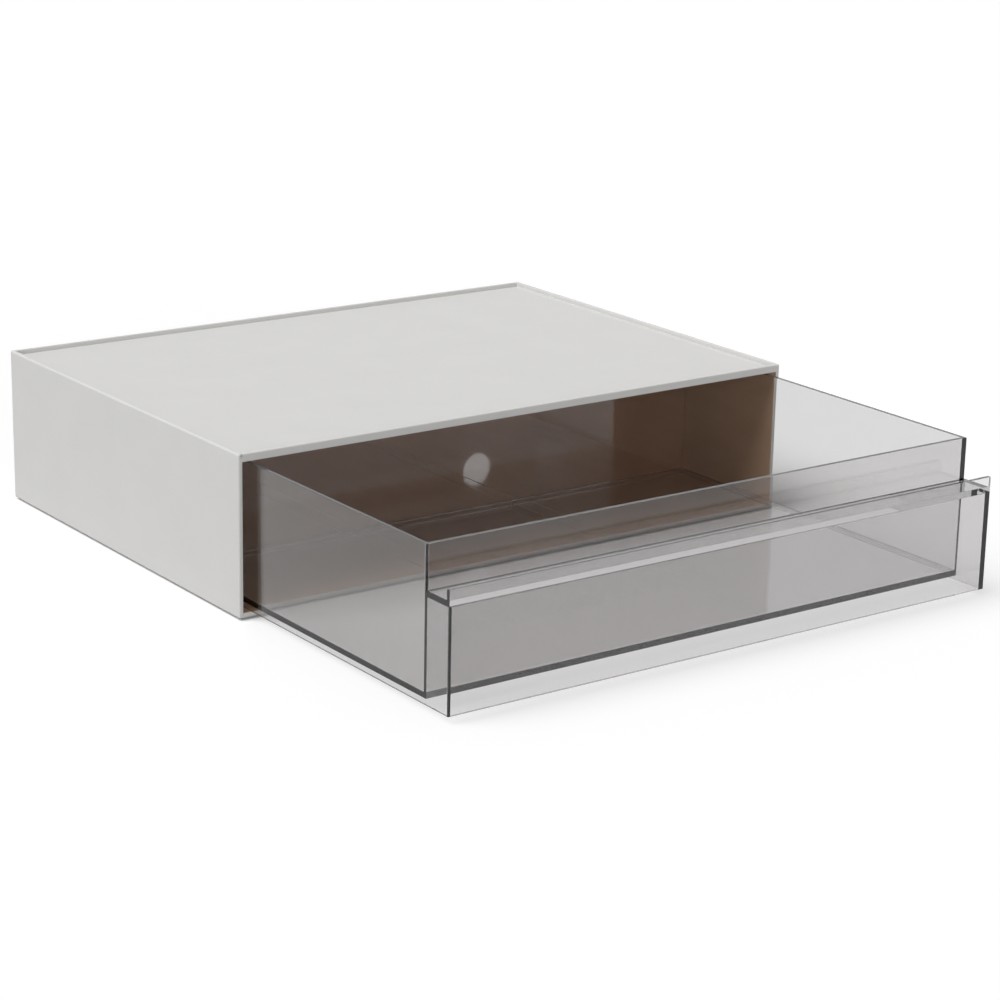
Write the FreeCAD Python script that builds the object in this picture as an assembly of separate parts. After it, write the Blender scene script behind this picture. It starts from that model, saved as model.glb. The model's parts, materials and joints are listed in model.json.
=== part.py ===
import FreeCAD, Part
import os

# A low, wide stackable drawer box: an open-fronted case of thin panels, and a clear drawer that
# slides in it on the case's floor. The drawer is modelled pulled out, as it is at rest.
# Lengths are in millimetres. X is the width, Y runs from the open front to the rear, Z is up.
# The origin is the middle of the box's footprint with the drawer out, on the surface that it stands on.

Vector = FreeCAD.Vector

# Case, outside
case_width = 360.0
case_depth = 256.0
case_height = 87.5

# Case panels
side_thickness = 2.5
rear_thickness = 2.5
floor_thickness = 2.8
top_thickness = 2.4
rim_rise = 2.5
rail_height = 4.4
rail_depth = 2.5
case_edge_radius = 1.0

# Round hole through the rear panel: its centre from the right side and above the case's underside
rear_hole_radius = 11.0
rear_hole_from_side = 32.0
rear_hole_above_base = 39.0

# Shallow guide lines scored in the case floor, in pairs at the left and at the right
score_width = 1.0
score_depth = 0.4
score_pair_pitch = 10.7
score_pair_from_centre = 54.9
score_end_margin = 6.0

# Feet, which drop inside the raised rim of a box below
foot_radius = 6.0
foot_height = 1.2
foot_edge_radius = 0.4
stacking_clearance = 1.0

# Drawer fits in the case
drawer_side_gap = 4.25
drawer_top_gap = 0.5
drawer_under_gap = 0.3
drawer_rear_gap = 0.5
pulled_out = 177.4

# Drawer tray
wall_thickness = 2.2
base_thickness = 2.8
skirt_depth = 2.7
inner_corner_radius = 0.8
tray_edge_radius = 0.6

# Drawer front: a panel that stands ahead of the tray, joined to it by a shelf and two wings
grip_depth = 19.4
panel_thickness = 2.3
panel_height = 62.2
shelf_level = 56.5
shelf_thickness = 3.4
front_edge_radius = 0.5

# One overrun for all cuts
overrun = 5.0

# Planes of the case
side_x = case_width / 2
rear_y = (case_depth + pulled_out) / 2
front_y = rear_y - case_depth
base_z = foot_height
rim_z = base_z + case_height
side_inner_x = side_x - side_thickness
rear_inner_y = rear_y - rear_thickness
rail_rear_y = front_y + rail_depth
floor_z = base_z + floor_thickness
top_face_z = rim_z - rim_rise
top_under_z = top_face_z - top_thickness
foot_reach = foot_radius + stacking_clearance

# Planes of the drawer, at rest
drawer_width = 2 * (side_inner_x - drawer_side_gap)
drawer_depth = case_depth - rear_thickness - drawer_rear_gap
drawer_x = drawer_width / 2
drawer_bottom_z = floor_z + drawer_under_gap
drawer_top_z = top_under_z - drawer_top_gap
drawer_front_y = front_y - pulled_out
drawer_rear_y = drawer_front_y + drawer_depth
tray_front_y = drawer_front_y + grip_depth
shelf_top_z = drawer_bottom_z + shelf_level


def block(low, high):
    """A solid box between two opposite corners."""
    size = high - low
    return Part.makeBox(size.x, size.y, size.z, low)


def on_plane(edge, axis, value):
    """True where a whole edge lies in the plane axis = value."""
    return all(abs(getattr(vertex.Point, axis) - value) < Part.Precision.approximation()
               for vertex in edge.Vertexes)


def rounded(solid, radius, choose):
    """The solid with a fillet on each edge that choose accepts."""
    edges = [edge for edge in solid.Edges if choose(edge)]
    return solid.makeFillet(radius, edges)


def on_case_outline(edge):
    """True for an edge that lies in more than one outer plane of the whole case."""
    outer_planes = (("x", -side_x), ("x", side_x), ("y", front_y), ("y", rear_y), ("z", base_z), ("z", rim_z))
    return sum(on_plane(edge, axis, value) for axis, value in outer_planes) > 1


def make_side_panel(sign):
    """A full-height, full-depth side of the case. Its top edge is part of the raised rim."""
    inner = sign * side_inner_x
    outer = sign * side_x
    panel = block(Vector(min(inner, outer), front_y, base_z), Vector(max(inner, outer), rear_y, rim_z))
    return rounded(panel, case_edge_radius, on_case_outline)


def make_rear_panel():
    """The rear of the case between the sides, with its round hole."""
    panel = block(Vector(-side_inner_x, rear_inner_y, base_z), Vector(side_inner_x, rear_y, rim_z))
    panel = rounded(panel, case_edge_radius, on_case_outline)
    hole_start = Vector(side_x - rear_hole_from_side, rear_inner_y - overrun, base_z + rear_hole_above_base)
    hole = Part.makeCylinder(rear_hole_radius, rear_thickness + 2 * overrun, hole_start, Vector(0, 1, 0))
    return panel.cut(hole)


def make_floor_panel():
    """The floor of the case between the sides, scored with two pairs of lines from front to rear."""
    panel = block(Vector(-side_inner_x, front_y, base_z), Vector(side_inner_x, rear_inner_y, floor_z))
    panel = rounded(panel, case_edge_radius, on_case_outline)
    for pair_side in (-1, 1):
        for line_side in (-1, 1):
            line_x = pair_side * score_pair_from_centre + line_side * score_pair_pitch / 2
            low = Vector(line_x - score_width / 2, front_y + score_end_margin, floor_z - score_depth)
            high = Vector(line_x + score_width / 2, rear_inner_y - score_end_margin, floor_z + overrun)
            panel = panel.cut(block(low, high))
    return panel


def make_top_panel():
    """The top of the case, sunk below the raised rim so that a box above sits inside it."""
    low = Vector(-side_inner_x, rail_rear_y, top_under_z)
    return block(low, Vector(side_inner_x, rear_inner_y, top_face_z))


def make_front_rail():
    """The stiff strip above the opening. Its top edge is the front of the raised rim."""
    low = Vector(-side_inner_x, front_y, rim_z - rail_height)
    rail = block(low, Vector(side_inner_x, rail_rear_y, rim_z))
    return rounded(rail, case_edge_radius, on_case_outline)


def make_foot(sign_x, centre_y):
    """A low round foot with its outside just inside the line of the rim."""
    centre = Vector(sign_x * (side_inner_x - foot_reach), centre_y, 0)
    foot = Part.makeCylinder(foot_radius, foot_height, centre)
    return rounded(foot, foot_edge_radius, lambda edge: len(edge.Vertexes) == 1 and on_plane(edge, "z", 0))


def make_drawer_tray():
    """The clear open-topped tray: four walls round a raised floor, and a low skirt at its sides and rear."""
    outer = block(Vector(-drawer_x, tray_front_y, drawer_bottom_z),
                  Vector(drawer_x, drawer_rear_y, drawer_top_z))
    outer = rounded(outer, tray_edge_radius,
                    lambda edge: on_plane(edge, "y", drawer_rear_y)
                    and (on_plane(edge, "x", -drawer_x) or on_plane(edge, "x", drawer_x)))

    inside_x = drawer_x - wall_thickness
    inside_front = tray_front_y + wall_thickness
    inside_rear = drawer_rear_y - wall_thickness
    base_under_z = drawer_bottom_z + skirt_depth
    base_top_z = base_under_z + base_thickness
    roof_z = drawer_top_z + overrun

    inside = block(Vector(-inside_x, inside_front, base_top_z), Vector(inside_x, inside_rear, roof_z))
    inside = rounded(inside, inner_corner_radius, lambda edge: not on_plane(edge, "z", roof_z))
    under = block(Vector(-inside_x, tray_front_y - overrun, drawer_bottom_z - overrun),
                  Vector(inside_x, inside_rear, base_under_z))
    return outer.cut(inside).cut(under)


def make_drawer_front():
    """The clear front: panel with its lip, the shelf behind the lip and the two wings."""
    panel_rear_y = drawer_front_y + panel_thickness
    panel = block(Vector(-drawer_x, drawer_front_y, drawer_bottom_z),
                  Vector(drawer_x, panel_rear_y, drawer_bottom_z + panel_height))
    panel = rounded(panel, front_edge_radius, lambda edge: on_plane(edge, "y", drawer_front_y))
    shelf = block(Vector(-drawer_x, panel_rear_y, shelf_top_z - shelf_thickness),
                  Vector(drawer_x, tray_front_y, shelf_top_z))
    front = panel.fuse(shelf)
    for sign in (-1, 1):
        inner = sign * (drawer_x - wall_thickness)
        outer = sign * drawer_x
        wing = block(Vector(min(inner, outer), panel_rear_y, drawer_bottom_z),
                     Vector(max(inner, outer), tray_front_y, shelf_top_z))
        front = front.fuse(wing)
    return front.removeSplitter()


def make_all():
    """Every node of the box by name."""
    nodes = {
        "case_left_side": make_side_panel(-1),
        "case_right_side": make_side_panel(1),
        "case_rear_panel": make_rear_panel(),
        "case_floor_panel": make_floor_panel(),
        "case_top_panel": make_top_panel(),
        "case_front_rail": make_front_rail(),
        "drawer_tray": make_drawer_tray(),
        "drawer_front": make_drawer_front(),
    }
    for end, centre_y in (("front", rail_rear_y + foot_reach), ("rear", rear_inner_y - foot_reach)):
        for side, sign_x in (("left", -1), ("right", 1)):
            nodes["foot_" + end + "_" + side] = make_foot(sign_x, centre_y)
    return nodes


os.makedirs("parts", exist_ok=True)
for name, shape in make_all().items():
    box = shape.BoundBox
    print(name, "valid" if shape.isValid() else "not valid", "solids", len(shape.Solids), "box", box)
    shape.exportStep("parts/" + name + ".step")
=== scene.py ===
import bpy
import bmesh
import itertools
import json
import math
from mathutils import Matrix, Vector


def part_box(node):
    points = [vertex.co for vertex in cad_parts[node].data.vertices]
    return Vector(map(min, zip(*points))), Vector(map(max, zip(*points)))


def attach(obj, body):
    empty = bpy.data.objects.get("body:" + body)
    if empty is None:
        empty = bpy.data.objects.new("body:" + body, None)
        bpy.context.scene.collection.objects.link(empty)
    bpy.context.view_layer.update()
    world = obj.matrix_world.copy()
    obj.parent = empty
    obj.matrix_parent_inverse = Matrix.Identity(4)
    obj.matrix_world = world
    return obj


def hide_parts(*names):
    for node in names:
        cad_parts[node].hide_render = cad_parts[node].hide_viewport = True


# A stackable drawer box: the case's panels, its feet and its clear drawer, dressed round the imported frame.
# Lengths are in metres, in the frame's axes: +X right, +Y to the rear, +Z up, the floor at Z = 0.

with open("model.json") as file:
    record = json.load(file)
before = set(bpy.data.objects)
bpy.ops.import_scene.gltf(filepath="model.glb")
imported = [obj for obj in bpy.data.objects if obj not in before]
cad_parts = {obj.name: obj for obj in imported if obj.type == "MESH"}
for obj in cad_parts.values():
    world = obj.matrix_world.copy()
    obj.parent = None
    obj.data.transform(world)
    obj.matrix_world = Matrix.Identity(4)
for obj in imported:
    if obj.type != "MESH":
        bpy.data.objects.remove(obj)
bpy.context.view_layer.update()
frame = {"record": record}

MM = 0.001

# Camera: where it stands, how it is turned, and its lens
CAMERA_PLACE = Vector((-862.9, -1202.2, 473.9)) * MM
CAMERA_YAW = math.radians(36.035)
CAMERA_PITCH = math.radians(16.837)
CAMERA_ROLL = math.radians(-1.161)
SENSOR_WIDTH = 36.0
FOCAL_SHARE = 2.7815

# Light: the even surround, a broad soft key from the upper left, and a low fill from the front
WHITE = (1, 1, 1, 1)
SURROUND = 0.22
KEY_STRENGTH = 2.50
KEY_FROM = Vector((-0.48, 0.04, 0.785))
KEY_SPREAD = math.radians(45)
FILL_STRENGTH = 0.98
FILL_FROM = Vector((-0.34, -0.94, 0.09))
FILL_SPREAD = math.radians(42)

# Floor: its size, its colour where it lights the box, and its faint glow where it is seen as plain white
FLOOR_SIZE = 14.0
FLOOR_LIT = (0.55, 0.55, 0.55, 1)
FLOOR_LIFT = 0.07
FLOOR_ROUGHNESS = 0.9

# Case
OUTER_ROUND = 1.0 * MM
INNER_ROUND = 0.35 * MM
ROUND_STEPS = 4
SCORE_WIDTH = 1.0 * MM
SCORE_DEPTH = 0.4 * MM
SCORE_PITCH = 10.7 * MM
SCORE_FROM_MIDDLE = 54.9 * MM
SCORE_END = 6.0 * MM
HOLE_POINTS = 96
HOLE_SURROUND_SHARE = 1.6

# Feet
FOOT_SOFT_SHARE = 1 / 3
FOOT_SOFT_STEPS = 4
FOOT_TURN_STEPS = 48

# Drawer
WALL = 2.2 * MM
BASE = 2.8 * MM
SKIRT = 2.7 * MM
FRONT_PANEL = 2.3 * MM
SHELF = 3.4 * MM
SHELF_LEVEL = 56.5 * MM
INNER_FILLET = 0.3 * MM
FILLET_STEPS = 6
CLEAR_ROUND = 0.12 * MM
CLEAR_ROUND_STEPS = 3

# Grain and detail of the finishes: a grain is a number of features to a metre
SOFT_DETAIL = 2
FINE_DETAIL = 3
DENSE_DETAIL = 6
BLEND_START_SHARE = 0.3
BLEND_END_SHARE = 0.7

# Cover of the case
COVER_COLOURS = ((0.668, 0.662, 0.648), (0.684, 0.678, 0.664))
COVER_MOTTLE = 35
COVER_ROUGHNESS = (0.52, 0.62)
COVER_WEAR = 120
COVER_TOOTH = 2600
COVER_TOOTH_DEPTH = 0.02 * MM
COVER_TOOTH_STRENGTH = 0.35
COVER_SHINE = 0.35

# Lining of the case
LINING_COLOURS = ((0.64, 0.438, 0.300), (0.69, 0.474, 0.326))
LINING_GRAIN = 90
LINING_STRETCH = (1, 0.25, 1)
LINING_ROUGHNESS = (0.05, 0.09)
LINING_WEAR = 40
LINING_WAVE = 55
LINING_WAVE_DEPTH = 0.02 * MM
LINING_WAVE_STRENGTH = 0.05
LINING_IOR = 1.5

# Clear plastic: its skin, the tint inside it, and the share of light that falls through a wall. Skin and
# tint are partly a real faint smoke tint and partly painted shade: they dim what is seen through the plastic
# as the shaded floor behind it would
CLEAR_SKIN_WITH_PAINTED_SHADE = (0.815, 0.809, 0.808, 1)
CLEAR_IOR = 1.5
CLEAR_ROUGHNESS = (0.0, 0.025)
CLEAR_HAZE = 30
SMOKE_TINT_WITH_PAINTED_SHADE = (0.20, 0.17, 0.18, 1)
TINT_DENSITY = 25.0
PANE_SHARE = 0.96

# Rubber of the feet
RUBBER_COLOURS = ((0.030, 0.030, 0.031), (0.045, 0.045, 0.046))
RUBBER_MOTTLE = 300
RUBBER_ROUGHNESS = (0.75, 0.9)
RUBBER_WEAR = 500
RUBBER_TOOTH = 3000
RUBBER_TOOTH_DEPTH = 0.03 * MM
RUBBER_TOOTH_STRENGTH = 0.5

# Points closer than this are in the same place
NEAR = 0.01 * MM

# Faces that meet at more than the first make a corner, and at more than the second an arris to soften
CORNER_ANGLE = math.radians(30)
ARRIS_ANGLE = math.radians(40)

# How strongly large faces set the normals beside them
NORMAL_WEIGHT = 100

# No planes besides those of the boxes, for build_blocks
NO_PLANES = ((), (), ())

# Sockets that share their names with others on the same node
COLOUR_A = 6
COLOUR_B = 7
COLOUR_RESULT = 2
FIRST_SHADER = 1
SECOND_SHADER = 2


# Mesh building

def near(a, b):
    """True for two places along an axis that are the same."""
    return abs(a - b) < NEAR


def lies_on(edge, axis, value):
    """True where both ends of an edge lie in the plane axis = value."""
    return all(near(v.co[axis], value) for v in edge.verts)


def finish_piece(name, bm, materials):
    """A new object from a bmesh, with outward faces and smooth shading."""
    bmesh.ops.recalc_face_normals(bm, faces=bm.faces)
    mesh = bpy.data.meshes.new(name)
    bm.to_mesh(mesh)
    bm.free()
    for material in materials:
        mesh.materials.append(material)
    mesh.shade_smooth()
    piece = bpy.data.objects.new(name, mesh)
    bpy.context.scene.collection.objects.link(piece)
    return piece


def cell_planes(boxes, extra_planes):
    """For each axis, the places of all the boxes' sides and of the extra planes, in order."""
    planes = []
    for axis in range(3):
        values = sorted([corner[axis] for box in boxes for corner in box] + list(extra_planes[axis]))
        planes.append([v for i, v in enumerate(values) if i == 0 or not near(v, values[i - 1])])
    return planes


def holds(box, point):
    """True for a point inside a box."""
    return all(box[0][axis] < point[axis] < box[1][axis] for axis in range(3))


def solid_cells(planes, boxes, cuts):
    """The cells between the planes that lie in a box and in no cut, by their numbers along the axes."""
    cells = []
    for cell in itertools.product(*(range(len(values) - 1) for values in planes)):
        middle = [(planes[axis][n] + planes[axis][n + 1]) / 2 for axis, n in enumerate(cell)]
        if any(holds(box, middle) for box in boxes) and not any(holds(cut, middle) for cut in cuts):
            cells.append(cell)
    return cells


def side_corners(cell, axis, step):
    """The numbers of the four corners of one side of a cell, in order round it."""
    u, v = [a for a in range(3) if a != axis]
    corners = []
    for step_u, step_v in ((0, 0), (1, 0), (1, 1), (0, 1)):
        corner = list(cell)
        corner[axis] += step
        corner[u] += step_u
        corner[v] += step_v
        corners.append(tuple(corner))
    return corners


def build_blocks(boxes, cuts=(), extra_planes=NO_PLANES):
    """A bmesh of the union of boxes less the cuts, each a (low, high) pair along the axes.
    Its faces are the outer sides of the cells between all the planes, so that it is closed and clean."""
    planes = cell_planes(list(boxes) + list(cuts), extra_planes)
    cells = solid_cells(planes, boxes, cuts)
    bm = bmesh.new()
    points = {}
    for cell in cells:
        for axis, step in itertools.product(range(3), (0, 1)):
            beside = list(cell)
            beside[axis] += 2 * step - 1
            if tuple(beside) in cells:
                continue
            corners = side_corners(cell, axis, step)
            for corner in corners:
                if corner not in points:
                    points[corner] = bm.verts.new([planes[a][n] for a, n in enumerate(corner)])
            bm.faces.new([points[corner] for corner in corners])
    return bm


def weigh_edges(bm, full_width, width_of):
    """Gives each edge that is a real corner its share of the bevel's full width."""
    layer = bm.edges.layers.float.new("bevel_weight_edge")
    bm.normal_update()
    for edge in bm.edges:
        if len(edge.link_faces) == 2 and edge.calc_face_angle(0) > CORNER_ANGLE:
            edge[layer] = width_of(edge) / full_width


def keep_corners_sharp(bm):
    """Marks the corners that no bevel rounds, so that the faces beside them shade flat."""
    layer = bm.edges.layers.float["bevel_weight_edge"]
    for edge in bm.edges:
        if len(edge.link_faces) == 2 and edge.calc_face_angle(0) > CORNER_ANGLE:
            edge.smooth = edge[layer] > 0


def add_bevel(piece, name, width, segments, by_weight):
    """Rounds the edges that have a weight, or else every sharp arris."""
    bevel = piece.modifiers.new(name, "BEVEL")
    bevel.width = width
    bevel.segments = segments
    bevel.limit_method = "WEIGHT" if by_weight else "ANGLE"
    bevel.angle_limit = ARRIS_ANGLE
    bevel.use_clamp_overlap = False
    bevel.miter_outer = "MITER_SHARP"


def add_even_normals(piece):
    """Keeps flat faces flat to the eye, so that only the rounded edges turn the light."""
    normals = piece.modifiers.new("even_normals", "WEIGHTED_NORMAL")
    normals.keep_sharp = True
    normals.weight = NORMAL_WEIGHT


# Materials

def new_material(name):
    """A new material with its node tree and its shader."""
    material = bpy.data.materials.new(name)
    material.use_nodes = True
    tree = material.node_tree
    return material, tree, tree.nodes["Principled BSDF"]


def add_noise(tree, grain, detail, stretch=(1, 1, 1)):
    """Noise over the piece in the frame's own metres."""
    place = tree.nodes.new("ShaderNodeTexCoord")
    mapping = tree.nodes.new("ShaderNodeMapping")
    mapping.inputs["Scale"].default_value = stretch
    noise = tree.nodes.new("ShaderNodeTexNoise")
    noise.inputs["Scale"].default_value = grain
    noise.inputs["Detail"].default_value = detail
    tree.links.new(place.outputs["Object"], mapping.inputs["Vector"])
    tree.links.new(mapping.outputs["Vector"], noise.inputs["Vector"])
    return noise.outputs["Fac"]


def blend_colours(tree, factor, colours, target):
    """Runs from the first colour to the second as the factor grows."""
    ramp = tree.nodes.new("ShaderNodeValToRGB")
    shares = (BLEND_START_SHARE, BLEND_END_SHARE)
    for element, share, colour in zip(ramp.color_ramp.elements, shares, colours):
        element.position = share
        element.color = (*colour, 1)
    tree.links.new(factor, ramp.inputs["Fac"])
    tree.links.new(ramp.outputs["Color"], target)


def spread_value(tree, factor, limits, target):
    """Spreads a factor from nought to one between two limits."""
    low, high = limits
    spread = tree.nodes.new("ShaderNodeMapRange")
    spread.inputs["To Min"].default_value = low
    spread.inputs["To Max"].default_value = high
    tree.links.new(factor, spread.inputs["Value"])
    tree.links.new(spread.outputs["Result"], target)


def add_bump(tree, shader, height, distance, strength):
    """Lets a noise stand in relief on the surface."""
    bump = tree.nodes.new("ShaderNodeBump")
    bump.inputs["Distance"].default_value = distance
    bump.inputs["Strength"].default_value = strength
    tree.links.new(height, bump.inputs["Height"])
    tree.links.new(bump.outputs["Normal"], shader.inputs["Normal"])


def make_cover_material():
    """The light warm grey outside of the case: matte, with a very fine tooth."""
    material, tree, shader = new_material("case_cover")
    mottle = add_noise(tree, COVER_MOTTLE, FINE_DETAIL)
    blend_colours(tree, mottle, COVER_COLOURS, shader.inputs["Base Color"])
    wear = add_noise(tree, COVER_WEAR, FINE_DETAIL)
    spread_value(tree, wear, COVER_ROUGHNESS, shader.inputs["Roughness"])
    tooth = add_noise(tree, COVER_TOOTH, SOFT_DETAIL)
    add_bump(tree, shader, tooth, COVER_TOOTH_DEPTH, COVER_TOOTH_STRENGTH)
    shader.inputs["Specular IOR Level"].default_value = COVER_SHINE
    return material


def make_lining_material():
    """The brown inside of the case: dense fine-grained board under a clear glossy finish."""
    material, tree, shader = new_material("case_lining")
    grain = add_noise(tree, LINING_GRAIN, DENSE_DETAIL, LINING_STRETCH)
    blend_colours(tree, grain, LINING_COLOURS, shader.inputs["Base Color"])
    wear = add_noise(tree, LINING_WEAR, FINE_DETAIL)
    spread_value(tree, wear, LINING_ROUGHNESS, shader.inputs["Roughness"])
    wave = add_noise(tree, LINING_WAVE, SOFT_DETAIL)
    add_bump(tree, shader, wave, LINING_WAVE_DEPTH, LINING_WAVE_STRENGTH)
    shader.inputs["IOR"].default_value = LINING_IOR
    return material


def mix_in_pane(tree, factor, surface):
    """Lets light that falls through the clear plastic on other things pass it straight, a little dimmed."""
    pane = tree.nodes.new("ShaderNodeBsdfTransparent")
    pane.inputs["Color"].default_value = (PANE_SHARE, PANE_SHARE, PANE_SHARE, 1)
    mix = tree.nodes.new("ShaderNodeMixShader")
    tree.links.new(factor, mix.inputs["Fac"])
    tree.links.new(surface, mix.inputs[FIRST_SHADER])
    tree.links.new(pane.outputs["BSDF"], mix.inputs[SECOND_SHADER])
    return mix.outputs["Shader"]


def make_clear_material():
    """The drawer's clear plastic with a faint smoke tint, which is deepest along its edges; its skin colour
    and tint are also painted shade, darker than the clear plastic, for the shaded floor seen through it.
    """
    material, tree, shader = new_material("clear_plastic")
    # Painted shade: this skin colour dims what is seen through the plastic well beyond the plastic's own
    # faint tint
    shader.inputs["Base Color"].default_value = CLEAR_SKIN_WITH_PAINTED_SHADE
    shader.inputs["Transmission Weight"].default_value = 1
    shader.inputs["IOR"].default_value = CLEAR_IOR
    haze = add_noise(tree, CLEAR_HAZE, SOFT_DETAIL)
    spread_value(tree, haze, CLEAR_ROUGHNESS, shader.inputs["Roughness"])

    output = tree.nodes["Material Output"]
    path = tree.nodes.new("ShaderNodeLightPath").outputs
    surface = shader.outputs["BSDF"]
    for ray in ("Is Diffuse Ray", "Is Shadow Ray"):
        surface = mix_in_pane(tree, path[ray], surface)
    tree.links.new(surface, output.inputs["Surface"])

    # Partly a real faint smoke tint, darkest along the edges, and partly painted shade that dims the floor
    # seen through the plastic
    smoke_and_painted_shade = tree.nodes.new("ShaderNodeVolumeAbsorption")
    smoke_and_painted_shade.inputs["Color"].default_value = SMOKE_TINT_WITH_PAINTED_SHADE
    smoke_and_painted_shade.inputs["Density"].default_value = TINT_DENSITY
    tree.links.new(smoke_and_painted_shade.outputs["Volume"], output.inputs["Volume"])
    return material


def make_foot_material():
    """Dark matte rubber."""
    material, tree, shader = new_material("foot_rubber")
    mottle = add_noise(tree, RUBBER_MOTTLE, FINE_DETAIL)
    blend_colours(tree, mottle, RUBBER_COLOURS, shader.inputs["Base Color"])
    wear = add_noise(tree, RUBBER_WEAR, SOFT_DETAIL)
    spread_value(tree, wear, RUBBER_ROUGHNESS, shader.inputs["Roughness"])
    tooth = add_noise(tree, RUBBER_TOOTH, SOFT_DETAIL)
    add_bump(tree, shader, tooth, RUBBER_TOOTH_DEPTH, RUBBER_TOOTH_STRENGTH)
    return material


cover = make_cover_material()
lining = make_lining_material()
clear = make_clear_material()
rubber = make_foot_material()

# Case: the planes of its panels, and the hole in its rear

CASE_LOW = Vector(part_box("case_left_side")[0])
CASE_HIGH = Vector(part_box("case_right_side")[1])
rail_low, rail_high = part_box("case_front_rail")
top_low, top_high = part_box("case_top_panel")
floor_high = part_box("case_floor_panel")[1]
BAY_X = floor_high[0]
BAY_FLOOR = floor_high[2]
BAY_ROOF = top_low[2]
BAY_REAR = top_high[1]

hole_mount = next(m for m in frame["record"]["mounts"] if m["name"] == "rear_hole")
HOLE_X, _, HOLE_Z = hole_mount["pos_m"]
HOLE_RADIUS = hole_mount["dims"]["r_mm"] * MM


def on_outline(edge):
    """True where an edge lies in more than one outer plane of the whole case."""
    planes = [(axis, corner[axis]) for corner in (CASE_LOW, CASE_HIGH) for axis in range(3)]
    return sum(lies_on(edge, axis, value) for axis, value in planes) > 1


def on_bay_mouth(edge):
    """True for the edges round the mouth that the drawer goes in by."""
    if not lies_on(edge, 1, CASE_LOW.y):
        return False
    upright = any(lies_on(edge, 0, x) for x in (-BAY_X, BAY_X))
    between = all(BAY_FLOOR - NEAR < v.co.z < rail_low[2] + NEAR for v in edge.verts)
    return (upright and between) or lies_on(edge, 2, BAY_FLOOR) or lies_on(edge, 2, rail_low[2])


def on_hole_rim(edge):
    """True for the two round arrises of the hole in the rear panel."""
    if not (lies_on(edge, 1, BAY_REAR) or lies_on(edge, 1, CASE_HIGH.y)):
        return False
    return all(near(math.hypot(v.co.x - HOLE_X, v.co.z - HOLE_Z), HOLE_RADIUS) for v in edge.verts)


def on_rim_inside(edge):
    """True for the inner arris of the raised rim."""
    if not lies_on(edge, 2, CASE_HIGH.z):
        return False
    return any(lies_on(edge, axis, value)
               for axis, value in ((0, -BAY_X), (0, BAY_X), (1, rail_high[1]), (1, BAY_REAR)))


def case_edge_width(edge):
    """How far an edge of the case is rounded. Where two panels meet it stays sharp."""
    if on_outline(edge):
        return OUTER_ROUND
    if on_bay_mouth(edge) or on_rim_inside(edge) or on_hole_rim(edge):
        return INNER_ROUND
    return 0


def line_bay(bm):
    """Gives the lining to every face that looks into the bay."""
    for face in bm.faces:
        middle = face.calc_center_median()
        inside = (abs(middle.x) < BAY_X + NEAR and CASE_LOW.y + NEAR < middle.y < BAY_REAR + NEAR
                  and BAY_FLOOR - SCORE_DEPTH - NEAR < middle.z < BAY_ROOF + NEAR)
        face.material_index = 1 if inside else 0


def dress_case_piece(bm, node):
    """Finishes one panel of the case, in place of its plain solid."""
    line_bay(bm)
    weigh_edges(bm, OUTER_ROUND, case_edge_width)
    keep_corners_sharp(bm)
    piece = finish_piece(node.replace("case_", "case_dressed_"), bm, (cover, lining))
    add_bevel(piece, "soft_edges", OUTER_ROUND, ROUND_STEPS, True)
    add_even_normals(piece)
    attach(piece, "case")
    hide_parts(node)


def make_case_block(node, cuts=(), extra_planes=NO_PLANES):
    """A flat panel of the case."""
    low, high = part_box(node)
    dress_case_piece(build_blocks([(low, high)], cuts, extra_planes), node)


def make_side_panel(node):
    """A side panel, its inner face split where the other panels meet it, so that only the bay is lined."""
    make_case_block(node, extra_planes=((), (rail_high[1], BAY_REAR),
                                        (BAY_FLOOR, BAY_ROOF, rail_low[2], top_high[2])))


def score_cuts():
    """The fine lines scored along the floor, in a pair at each side."""
    cuts = []
    for pair_side, line_side in itertools.product((-1, 1), (-1, 1)):
        x = pair_side * SCORE_FROM_MIDDLE + line_side * SCORE_PITCH / 2
        cuts.append(((x - SCORE_WIDTH / 2, CASE_LOW.y + SCORE_END, BAY_FLOOR - SCORE_DEPTH),
                     (x + SCORE_WIDTH / 2, BAY_REAR - SCORE_END, BAY_FLOOR + SCORE_DEPTH)))
    return cuts


def add_round_hole(bm, y_levels, half):
    """Closes a square opening round a round hole, at both faces and along the hole's wall."""
    quarter = HOLE_POINTS // 4
    turns = [math.pi / 4 + 2 * math.pi * n / HOLE_POINTS for n in range(HOLE_POINTS)]
    rings = []
    for y in y_levels:
        level_verts = [v for v in bm.verts if near(v.co.y, y)]
        ring = [bm.verts.new((HOLE_X + HOLE_RADIUS * math.cos(t), y, HOLE_Z + HOLE_RADIUS * math.sin(t)))
                for t in turns]
        corners = []
        for sign_x, sign_z in ((1, 1), (-1, 1), (-1, -1), (1, -1)):
            place = Vector((HOLE_X + sign_x * half, y, HOLE_Z + sign_z * half))
            corners.append(min(level_verts, key=lambda v: (v.co - place).length))
        for n, corner in enumerate(corners):
            arc = [ring[k % HOLE_POINTS] for k in range((n + 1) * quarter, n * quarter - 1, -1)]
            bm.faces.new([corner, corners[(n + 1) % len(corners)]] + arc)
        rings.append(ring)
    for n in range(HOLE_POINTS):
        after = (n + 1) % HOLE_POINTS
        bm.faces.new((rings[0][n], rings[0][after], rings[1][after], rings[1][n]))


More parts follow.
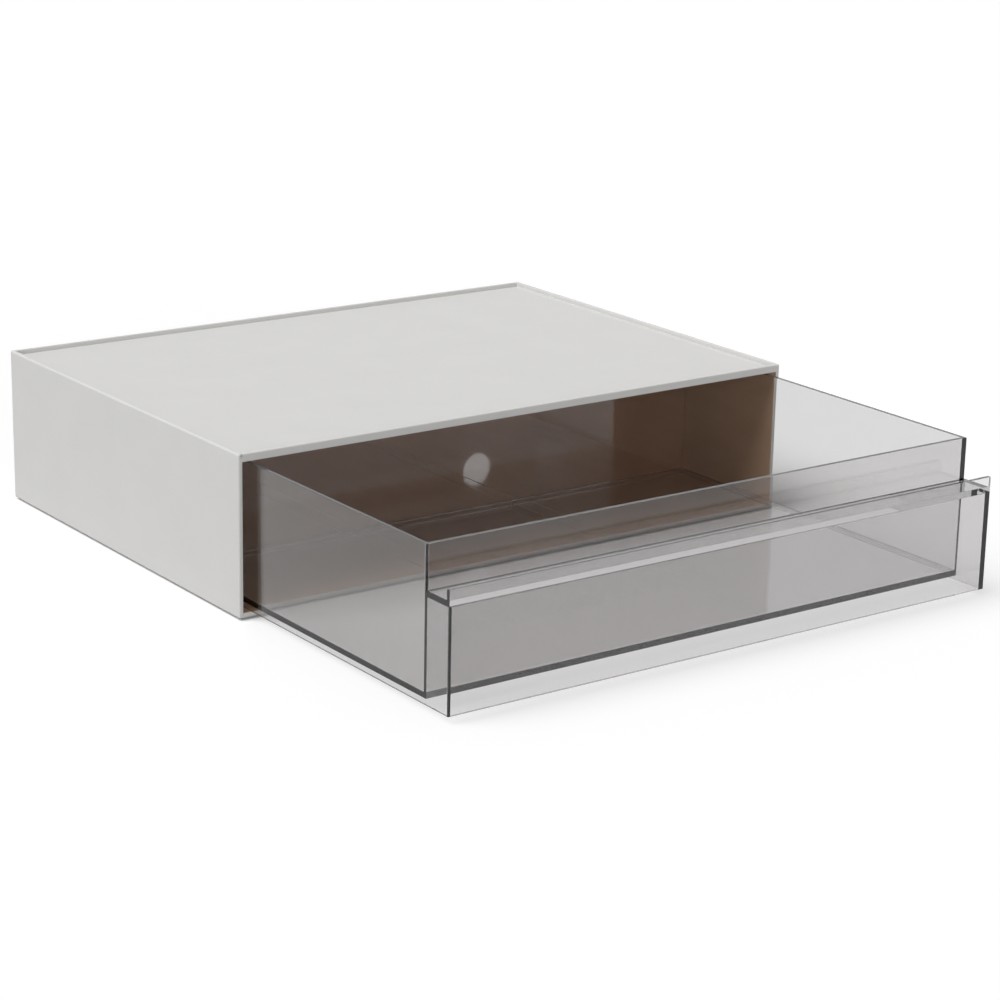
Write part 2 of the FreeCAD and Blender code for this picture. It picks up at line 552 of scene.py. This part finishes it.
def make_rear_panel():
    """The rear panel with its round hole, cut as a square opening that is then filled up to the round."""
    low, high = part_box("case_rear_panel")
    half = HOLE_RADIUS * HOLE_SURROUND_SHARE
    opening = ((HOLE_X - half, low[1] - half, HOLE_Z - half),
               (HOLE_X + half, high[1] + half, HOLE_Z + half))
    bm = build_blocks([(low, high)], [opening], ((), (), (BAY_FLOOR, BAY_ROOF)))
    square_walls = []
    for face in bm.faces:
        middle = face.calc_center_median()
        on_panel_face = near(middle.y, low[1]) or near(middle.y, high[1])
        if near(max(abs(middle.x - HOLE_X), abs(middle.z - HOLE_Z)), half) and not on_panel_face:
            square_walls.append(face)
    bmesh.ops.delete(bm, geom=square_walls, context="FACES")
    add_round_hole(bm, (low[1], high[1]), half)
    dress_case_piece(bm, "case_rear_panel")


make_side_panel("case_left_side")
make_side_panel("case_right_side")
make_case_block("case_floor_panel", score_cuts())
make_case_block("case_top_panel")
make_case_block("case_front_rail")
make_rear_panel()


# Feet

def make_foot(node):
    """A low round pad, turned from a profile with a soft lower edge."""
    low, high = (Vector(corner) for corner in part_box(node))
    centre = (low + high) / 2
    radius = (high.x - low.x) / 2
    soft = (high.z - low.z) * FOOT_SOFT_SHARE
    profile = [(0, low.z), (radius - soft, low.z)]
    for n in range(1, FOOT_SOFT_STEPS + 1):
        turn = math.pi / 2 * n / FOOT_SOFT_STEPS
        profile.append((radius - soft + soft * math.sin(turn), low.z + soft - soft * math.cos(turn)))
    profile += [(radius, high.z), (0, high.z)]
    bm = bmesh.new()
    verts = [bm.verts.new((centre.x + r, centre.y, z)) for r, z in profile]
    edges = [bm.edges.new(pair) for pair in zip(verts, verts[1:])]
    bmesh.ops.spin(bm, geom=verts + edges, cent=centre, axis=(0, 0, 1), angle=2 * math.pi,
                   steps=FOOT_TURN_STEPS)
    bmesh.ops.remove_doubles(bm, verts=bm.verts, dist=NEAR)
    piece = finish_piece(node + "_pad", bm, (rubber,))
    add_even_normals(piece)
    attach(piece, "case")
    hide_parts(node)


for end, side in itertools.product(("front", "rear"), ("left", "right")):
    make_foot("foot_" + end + "_" + side)


# Drawer

def drawer_edge_width(edge):
    """A small fillet for the inner corners of the tray, and none for any other edge."""
    low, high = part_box("drawer_tray")
    base_top = low[2] + SKIRT + BASE
    if any(v.co.z < base_top - NEAR for v in edge.verts):
        return 0
    on_side = any(lies_on(edge, 0, x) for x in (low[0] + WALL, high[0] - WALL))
    on_end = any(lies_on(edge, 1, y) for y in (low[1] + WALL, high[1] - WALL))
    on_base = lies_on(edge, 2, base_top)
    return INNER_FILLET if on_side + on_end + on_base > 1 else 0


def make_drawer():
    """The clear drawer: tray, skirt, stepped front panel, shelf and wings as one moulding."""
    low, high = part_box("drawer_tray")
    front_low, front_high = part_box("drawer_front")
    base_low = low[2] + SKIRT
    shelf_high = front_low[2] + SHELF_LEVEL
    panel_rear = front_low[1] + FRONT_PANEL
    boxes = [(low, high), (front_low, (high[0], panel_rear, front_high[2])),
             ((low[0], panel_rear, front_low[2]), (high[0], low[1], shelf_high))]
    inside_low = (low[0] + WALL, low[1] + WALL, base_low + BASE)
    inside_high = (high[0] - WALL, high[1] - WALL, high[2] + WALL)
    cuts = [(inside_low, inside_high),
            ((inside_low[0], low[1], low[2] - WALL), (inside_high[0], inside_high[1], base_low)),
            ((inside_low[0], panel_rear, front_low[2] - WALL),
             (inside_high[0], low[1], shelf_high - SHELF))]
    bm = build_blocks(boxes, cuts)
    weigh_edges(bm, INNER_FILLET, drawer_edge_width)
    piece = finish_piece("clear_drawer", bm, (clear,))
    add_bevel(piece, "tray_corners", INNER_FILLET, FILLET_STEPS, True)
    add_bevel(piece, "soft_edges", CLEAR_ROUND, CLEAR_ROUND_STEPS, False)
    add_even_normals(piece)
    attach(piece, "drawer")
    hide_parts("drawer_tray", "drawer_front")


make_drawer()


# Floor, light and camera

def add_math(tree, operation, first, second):
    """A simple sum of two sockets, held between nought and one."""
    node = tree.nodes.new("ShaderNodeMath")
    node.operation = operation
    node.use_clamp = True
    for value, target in zip((first, second), node.inputs):
        tree.links.new(value, target)
    return node.outputs["Value"]


def add_seen_share(tree):
    """One for what the camera sees, straight, mirrored or through the clear plastic, else nought."""
    path = tree.nodes.new("ShaderNodeLightPath").outputs
    mirrored = add_math(tree, "ADD", path["Is Glossy Ray"], path["Is Transmission Ray"])
    seen = add_math(tree, "ADD", path["Is Camera Ray"], mirrored)
    return add_math(tree, "SUBTRACT", seen, path["Diffuse Depth"])


def make_floor():
    """A plain pale floor that runs out of sight."""
    material, tree, shader = new_material("pale_floor")
    blend = tree.nodes.new("ShaderNodeMix")
    blend.data_type = "RGBA"
    tree.links.new(add_seen_share(tree), blend.inputs["Factor"])
    blend.inputs[COLOUR_A].default_value = FLOOR_LIT
    blend.inputs[COLOUR_B].default_value = WHITE
    tree.links.new(blend.outputs[COLOUR_RESULT], shader.inputs["Base Color"])
    spread_value(tree, add_seen_share(tree), (0, FLOOR_LIFT), shader.inputs["Emission Strength"])
    shader.inputs["Emission Color"].default_value = WHITE
    shader.inputs["Roughness"].default_value = FLOOR_ROUGHNESS
    shader.inputs["Specular IOR Level"].default_value = 0
    bm = bmesh.new()
    half = FLOOR_SIZE / 2
    corners = ((-half, -half), (half, -half), (half, half), (-half, half))
    bm.faces.new([bm.verts.new((x, y, 0)) for x, y in corners])
    floor = finish_piece("floor", bm, (material,))


def make_world():
    """An even surround, which is plain white where it is seen, mirrored or looked through to."""
    world = bpy.data.worlds.new("studio")
    bpy.context.scene.world = world
    world.use_nodes = True
    tree = world.node_tree
    lit = tree.nodes["Background"]
    lit.inputs["Strength"].default_value = SURROUND
    lit.inputs["Color"].default_value = WHITE
    seen = tree.nodes.new("ShaderNodeBackground")
    seen.inputs["Color"].default_value = WHITE
    mix = tree.nodes.new("ShaderNodeMixShader")
    tree.links.new(add_seen_share(tree), mix.inputs["Fac"])
    tree.links.new(lit.outputs["Background"], mix.inputs[FIRST_SHADER])
    tree.links.new(seen.outputs["Background"], mix.inputs[SECOND_SHADER])
    tree.links.new(mix.outputs["Shader"], tree.nodes["World Output"].inputs["Surface"])


def make_lamp(name, strength, come_from, spread):
    """A far, broad lamp: its light comes evenly from a wide patch of the sky."""
    light = bpy.data.lights.new(name, "SUN")
    light.energy = strength
    light.angle = spread
    lamp = bpy.data.objects.new(name, light)
    lamp.rotation_euler = come_from.to_track_quat("Z", "Y").to_euler()
    bpy.context.scene.collection.objects.link(lamp)


def make_camera():
    """A camera that stands at the front left and looks a little down."""
    level = Vector((math.cos(CAMERA_YAW), -math.sin(CAMERA_YAW), 0))
    forward = Vector((math.sin(CAMERA_YAW), math.cos(CAMERA_YAW), 0))
    ahead = math.cos(CAMERA_PITCH) * forward - math.sin(CAMERA_PITCH) * Vector((0, 0, 1))
    down = ahead.cross(level)
    right = math.cos(CAMERA_ROLL) * level + math.sin(CAMERA_ROLL) * down
    up = math.sin(CAMERA_ROLL) * level - math.cos(CAMERA_ROLL) * down
    lens = bpy.data.cameras.new("camera")
    lens.sensor_width = SENSOR_WIDTH
    lens.lens = FOCAL_SHARE * SENSOR_WIDTH
    lens.clip_end = FLOOR_SIZE * 2
    camera = bpy.data.objects.new("camera", lens)
    turn = Matrix((right, up, -ahead)).transposed().to_4x4()
    camera.matrix_world = Matrix.Translation(CAMERA_PLACE) @ turn
    bpy.context.scene.collection.objects.link(camera)
    bpy.context.scene.camera = camera


make_floor()
make_world()
make_lamp("soft_key", KEY_STRENGTH, KEY_FROM, KEY_SPREAD)
make_lamp("low_fill", FILL_STRENGTH, FILL_FROM, FILL_SPREAD)
make_camera()
bpy.context.scene.view_settings.view_transform = "Standard"
